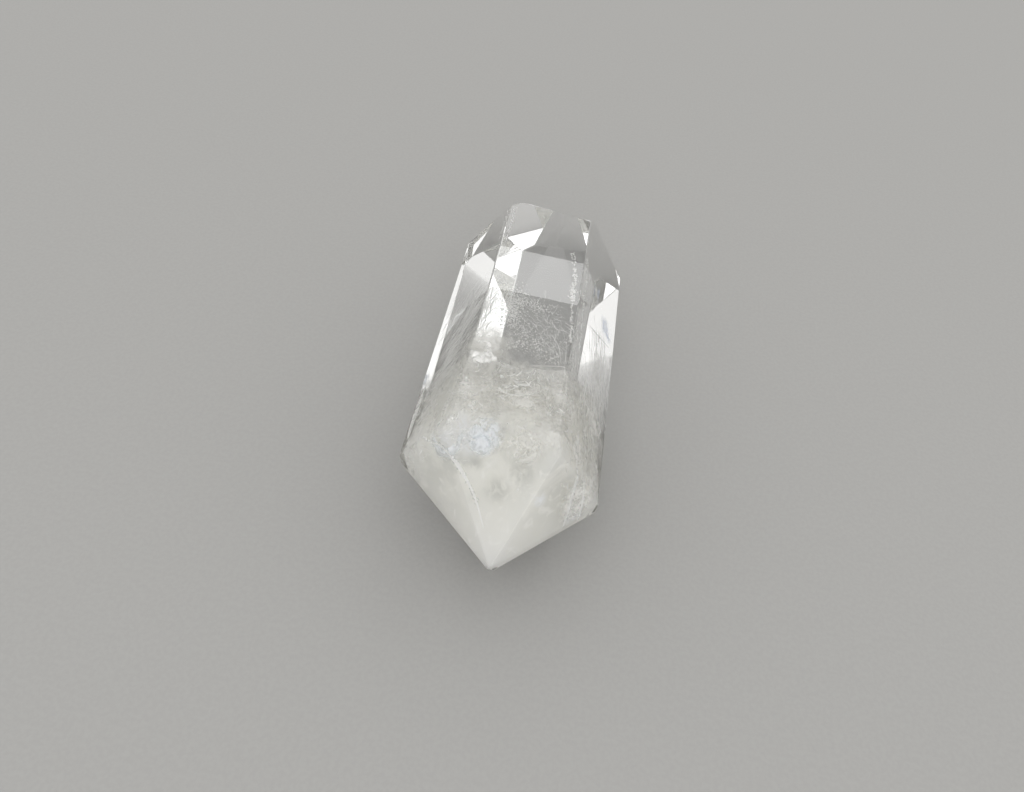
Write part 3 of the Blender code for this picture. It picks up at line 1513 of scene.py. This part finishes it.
@dataclass
class Veins:
    """The white veins and lines of the milk."""

    stone: Stone
    veins: tuple[Vein, ...] = (
        Vein(
            "bright_curve",
            (
                (-1.9, -14.8, 19.1),
                (-1.3, -15.4, 19.1),
                (-0.7, -15.5, 19.1),
                (0.1, -15.6, 19.1),
                (1.0, -15.3, 19.1),
                (1.8, -15.0, 19.1),
                (2.5, -14.2, 19.1),
            ),
            (0.05, 0.24, 0.18, 0.14, 0.16, 0.12, 0.03),
        ),
        Vein(
            "bright_lens",
            ((0.0, -14.0, 19.2), (0.7, -13.9, 19.2), (1.2, -13.8, 19.2), (1.6, -13.8, 19.2)),
            (0.03, 0.2, 0.18, 0.03),
        ),
        Vein(
            "facet_edge_line",
            ((6.9, 1.0, 16.2), (7.9, 1.5, 14.8), (9.3, 2.5, 12.6), (10.7, 3.4, 10.3)),
            (0.02, 0.09, 0.08, 0.02),
        ),
        Vein(
            "right_curve",
            (
                (7.6, -6.8, 15.5),
                (7.8, -8.3, 15.2),
                (7.8, -9.5, 15.2),
                (7.6, -10.6, 15.5),
                (8.1, -10.9, 14.6),
                (8.8, -11.0, 13.5),
                (9.5, -11.1, 12.4),
            ),
            (0.03, 0.14, 0.1, 0.16, 0.1, 0.09, 0.03),
        ),
        Vein(
            "break_line",
            (
                (0.8, -10.8, 19.0),
                (2.2, -10.5, 19.1),
                (3.3, -10.2, 19.0),
                (4.4, -9.9, 19.0),
                (5.1, -9.9, 18.9),
            ),
            (0.02, 0.05, 0.07, 0.06, 0.02),
        ),
        Vein(
            "window_thread_1",
            ((4.8, -4.4, 15.2), (4.9, -5.8, 15.1), (5.0, -7.4, 15.1)),
            (0.02, 0.05, 0.05),
        ),
        Vein(
            "window_thread_2",
            ((2.9, -3.2, 15.2), (3.8, -4.4, 15.1), (4.3, -6.0, 15.1), (4.5, -7.6, 15.0)),
            (0.02, 0.04, 0.04, 0.03),
        ),
        Vein(
            "trail_hook",
            ((3.9, 5.6, 17.2), (4.6, 4.4, 17.0), (5.1, 4.2, 16.9), (5.2, 5.0, 16.6)),
            (0.03, 0.05, 0.06, 0.03),
        ),
        Vein(
            "arc_line",
            (
                (-6.9, -1.4, 16.0),
                (-6.4, -0.3, 16.8),
                (-5.9, -0.6, 17.9),
                (-5.4, -1.3, 18.7),
                (-4.1, -1.4, 19.0),
            ),
            (0.02, 0.04, 0.05, 0.04, 0.02),
        ),
    )

    def build(self) -> None:
        """Model every vein."""
        material = WhiteInclusion().material("white_vein")
        for vein in self.veins:
            vein.build(self.stone, material)


@dataclass(frozen=True)
class Crack:
    """A healed crack: a thin uneven film through three places."""

    name: str
    corners: tuple[Point, Point, Point]
    reach: float
    strength: float
    colour: Colour = (0.99, 0.985, 0.96)
    blotch: float = 1.1
    low: float = 0.40
    high: float = 0.58
    wave: float = 0.3
    thin: float = 0.03
    steps: int = 28

    def build(self, stone: Stone) -> None:
        """Model the film as a thin wavy sheet in the plane of its places.

        Args:
            stone: The stone that holds the crack.
        """
        first, second, third = (Vector(corner) for corner in self.corners)
        middle = (first + second + third) / 3.0
        along = (second - first).normalized()
        out = along.cross(third - first).normalized()
        turn = Matrix((along, out.cross(along), out)).transposed()
        piece = Bench.start(
            bpy.ops.mesh.primitive_grid_add,
            self.name,
            x_subdivisions=self.steps,
            y_subdivisions=self.steps,
            size=2.0 * self.reach * MM,
            location=metres(middle),
            rotation=turn.to_euler(),
        )
        Bench.lumps(piece, self.reach * 0.7, self.wave)
        skin = piece.modifiers.new("skin", "SOLIDIFY")
        skin.thickness = self.thin * MM
        Bench.apply(piece)
        stone.keep_piece(piece)
        look = (self.strength, self.colour, self.blotch, self.low, self.high)
        Bench.finish(piece, CrackFilm(tuple(middle), self.reach, *look).material(self.name))


@dataclass
class Cracks:
    """The healed cracks of the milk, the bluish one at the left shoulder the brightest."""

    stone: Stone
    cracks: tuple[Crack, ...] = (
        Crack(
            "crack_blue_1",
            ((-7.8, -20.2, 16.6), (-4.5, -21.1, 18.5), (-5.5, -22.9, 16.5)),
            reach=2.6,
            strength=1.0,
            colour=ICE,
            low=0.36,
        ),
        Crack(
            "crack_blue_2",
            ((-3.8, -20.5, 19.1), (-1.0, -20.4, 19.3), (-1.7, -22.6, 17.3)),
            reach=2.4,
            strength=1.0,
            colour=ICE,
            low=0.36,
        ),
        Crack(
            "crack_block",
            ((-3.0, -21.4, 18.4), (-1.8, -21.5, 18.4), (-2.1, -22.9, 17.1)),
            reach=1.4,
            strength=1.0,
            colour=ICE,
            low=0.2,
        ),
        Crack(
            "crack_right",
            ((7.6, -22.1, 14.6), (9.5, -21.9, 11.5), (8.7, -23.6, 9.8)),
            reach=2.6,
            strength=1.0,
            low=0.34,
        ),
        Crack(
            "crack_right_top",
            ((7.0, -17.0, 16.7), (8.4, -17.4, 14.4), (7.9, -20.8, 15.1)),
            reach=2.0,
            strength=0.8,
        ),
        Crack(
            "crack_facet",
            ((8.6, 3.4, 13.2), (10.2, 8.6, 10.2), (9.8, 4.6, 11.2)),
            reach=2.4,
            strength=0.4,
            colour=BLUE,
            blotch=1.4,
            low=0.36,
            wave=0.2,
        ),
        Crack(
            "crack_rim",
            ((-9.8, -18.0, 7.6), (-9.8, -10.0, 7.6), (-7.6, -14.0, 4.2)),
            reach=5.2,
            strength=0.8,
            low=0.3,
        ),
        Crack(
            "veil_1",
            ((-1.2, -14.4, 18.9), (3.2, -13.9, 18.8), (1.0, -17.4, 18.7)),
            reach=3.4,
            strength=0.7,
            blotch=1.5,
        ),
        Crack(
            "veil_2",
            ((4.8, -12.7, 18.7), (6.3, -14.5, 17.2), (4.2, -17.3, 18.6)),
            reach=2.8,
            strength=0.7,
            blotch=1.3,
        ),
        Crack(
            "veil_3",
            ((-6.6, -16.0, 17.5), (-4.5, -17.5, 18.9), (-5.0, -20.0, 18.7)),
            reach=2.8,
            strength=0.7,
            blotch=1.2,
        ),
        Crack(
            "veil_4",
            ((8.5, -9.3, 13.5), (10.4, -11.0, 10.4), (8.9, -15.5, 12.7)),
            reach=3.4,
            strength=0.7,
            blotch=1.2,
        ),
        Crack(
            "veil_5",
            ((0.0, -21.2, 18.5), (4.2, -21.0, 18.8), (2.5, -22.5, 17.5)),
            reach=2.4,
            strength=0.5,
            blotch=1.4,
        ),
        Crack(
            "veil_band_1",
            ((-5.3, -6.8, 18.9), (-3.4, -7.8, 18.8), (-4.2, -10.4, 18.8)),
            reach=3.8,
            strength=0.5,
            colour=BAND,
            blotch=2.2,
            low=0.3,
        ),
        Crack(
            "veil_band_2",
            ((-5.4, -9.4, 18.7), (-3.3, -10.6, 18.6), (-4.2, -13.4, 18.6)),
            reach=3.8,
            strength=0.6,
            colour=BAND,
            blotch=2.2,
            low=0.3,
        ),
    )

    def build(self) -> None:
        """Model every crack."""
        for crack in self.cracks:
            crack.build(self.stone)


@dataclass
class PhotoCamera:
    """The camera of the photograph: close above the near point, looking down at it."""

    place: Point = (2.53, -68.76, 79.74)
    target: Point = (-0.61, -7.50, 10.0)
    roll: float = 8.17
    lens: float = 26.1
    nearest: float = 5.0

    def build(self) -> None:
        """Add the camera and make it the scene's."""
        data = bpy.data.cameras.new("photo_camera")
        data.lens = self.lens
        data.clip_start = self.nearest * MM
        camera = bpy.data.objects.new("photo_camera", data)
        bpy.context.scene.collection.objects.link(camera)
        way = metres(self.target) - metres(self.place)
        roll = Matrix.Rotation(math.radians(self.roll), 3, "Z")
        turn = way.to_track_quat("-Z", "Y").to_matrix() @ roll
        camera.matrix_world = Matrix.Translation(metres(self.place)) @ turn.to_4x4()
        bpy.context.scene.camera = camera


@dataclass(frozen=True)
class SoftLamp:
    """A soft lamp: its way in degrees from +Y and up, its sides in metres and its glow."""

    name: str
    azimuth: float
    height: float
    wide: float
    tall: float
    glow: float
    distance: float = 0.7

    def build(self) -> None:
        """Add the lamp, turned to the stone."""
        data = bpy.data.lights.new(self.name, "AREA")
        data.shape = "RECTANGLE"
        data.size = self.wide
        data.size_y = self.tall
        data.energy = self.glow * math.pi * self.wide * self.tall
        lamp = bpy.data.objects.new(self.name, data)
        bpy.context.scene.collection.objects.link(lamp)
        turn, rise = math.radians(self.azimuth), math.radians(self.height)
        way = Vector((math.sin(turn) * math.cos(rise), math.cos(turn) * math.cos(rise), math.sin(rise)))
        facing = (-way).to_track_quat("-Z", "Y").to_matrix().to_4x4()
        lamp.matrix_world = Matrix.Translation(way * self.distance) @ facing


@dataclass
class Studio:
    """A pale floor under a soft bright dome, with a large soft lamp and a narrow one.

    The floor's side is in metres and its drop in millimetres. The dome's glow changes from
    its horizon to its top, by points of height and glow.
    """

    floor_side: float = 4.0
    floor_drop: float = 0.05
    horizon: float = 1.08
    zenith: float = 1.06
    glows: tuple[tuple[float, float], ...] = ((0.68, 1.28), (0.9, 1.06))
    most_glow: float = 2.0
    colour: Colour = (1.0, 0.995, 0.98)
    lamps: tuple[SoftLamp, ...] = (
        SoftLamp("soft_lamp", 170.0, 24.0, 0.6, 0.3, 1.4),
        SoftLamp("strip_lamp", 0.0, 40.3, 0.22, 0.043, 3.2),
    )

    def build(self) -> None:
        """Add the floor, the lamps and the dome."""
        floor = Bench.start(
            bpy.ops.mesh.primitive_plane_add,
            "pale_floor",
            size=self.floor_side,
            location=(0.0, 0.0, -self.floor_drop * MM),
        )
        floor.data.materials.append(PaleFloor().material())
        for lamp in self.lamps:
            lamp.build()
        self.dome()

    def dome(self) -> None:
        """Light the scene from a dome that brightens from the horizon to the top."""
        world = bpy.data.worlds.new("soft_dome")
        bpy.context.scene.world = world
        world.use_nodes = True
        nodes, links = world.node_tree.nodes, world.node_tree.links
        background = nodes["Background"]
        spot = nodes.new("ShaderNodeTexCoord")
        height = nodes.new("ShaderNodeSeparateXYZ")
        links.new(spot.outputs["Generated"], height.inputs[0])
        rise = nodes.new("ShaderNodeFloatCurve")
        links.new(height.outputs["Z"], rise.inputs["Value"])
        line = rise.mapping.curves[0]
        line.points[0].location = (0.0, self.horizon / self.most_glow)
        line.points[1].location = (1.0, self.zenith / self.most_glow)
        for place, glow in self.glows:
            line.points.new(place, glow / self.most_glow)
        rise.mapping.update()
        scaled = nodes.new("ShaderNodeMath")
        scaled.operation = "MULTIPLY"
        scaled.inputs[1].default_value = self.most_glow
        links.new(rise.outputs[0], scaled.inputs[0])
        links.new(scaled.outputs[0], background.inputs["Strength"])
        background.inputs["Color"].default_value = (*self.colour, 1.0)


def set_light_paths() -> None:
    """Let light cross the stone and its many thin inclusions before it is given up."""
    cycles = bpy.context.scene.cycles
    cycles.max_bounces = 24
    cycles.transmission_bounces = 24
    cycles.glossy_bounces = 16
    cycles.diffuse_bounces = 12
    cycles.transparent_max_bounces = 96
    bpy.context.scene.view_settings.view_transform = "Standard"


def main() -> None:
    """Build every sub-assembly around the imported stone, in order."""
    logging.basicConfig(level=logging.INFO, format="%(message)s")
    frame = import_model()
    stone = Stone(frame["nodes"][CRYSTAL])
    stone.dress(ClearQuartz().material())
    MilkyHeart().build(stone)
    HazeLayers().build(stone)
    field = MilkField(stone)
    MilkWisps(field).build()
    MilkDust(field).build()
    NeedleSprays(stone).build()
    SpeckClouds(stone).build()
    SpeckTrails(stone).build()
    BrightGlints(stone).build()
    SoftVeins(stone).build()
    Veins(stone).build()
    Cracks(stone).build()
    Studio().build()
    PhotoCamera().build()
    set_light_paths()


if __name__ == "__main__":
    main()
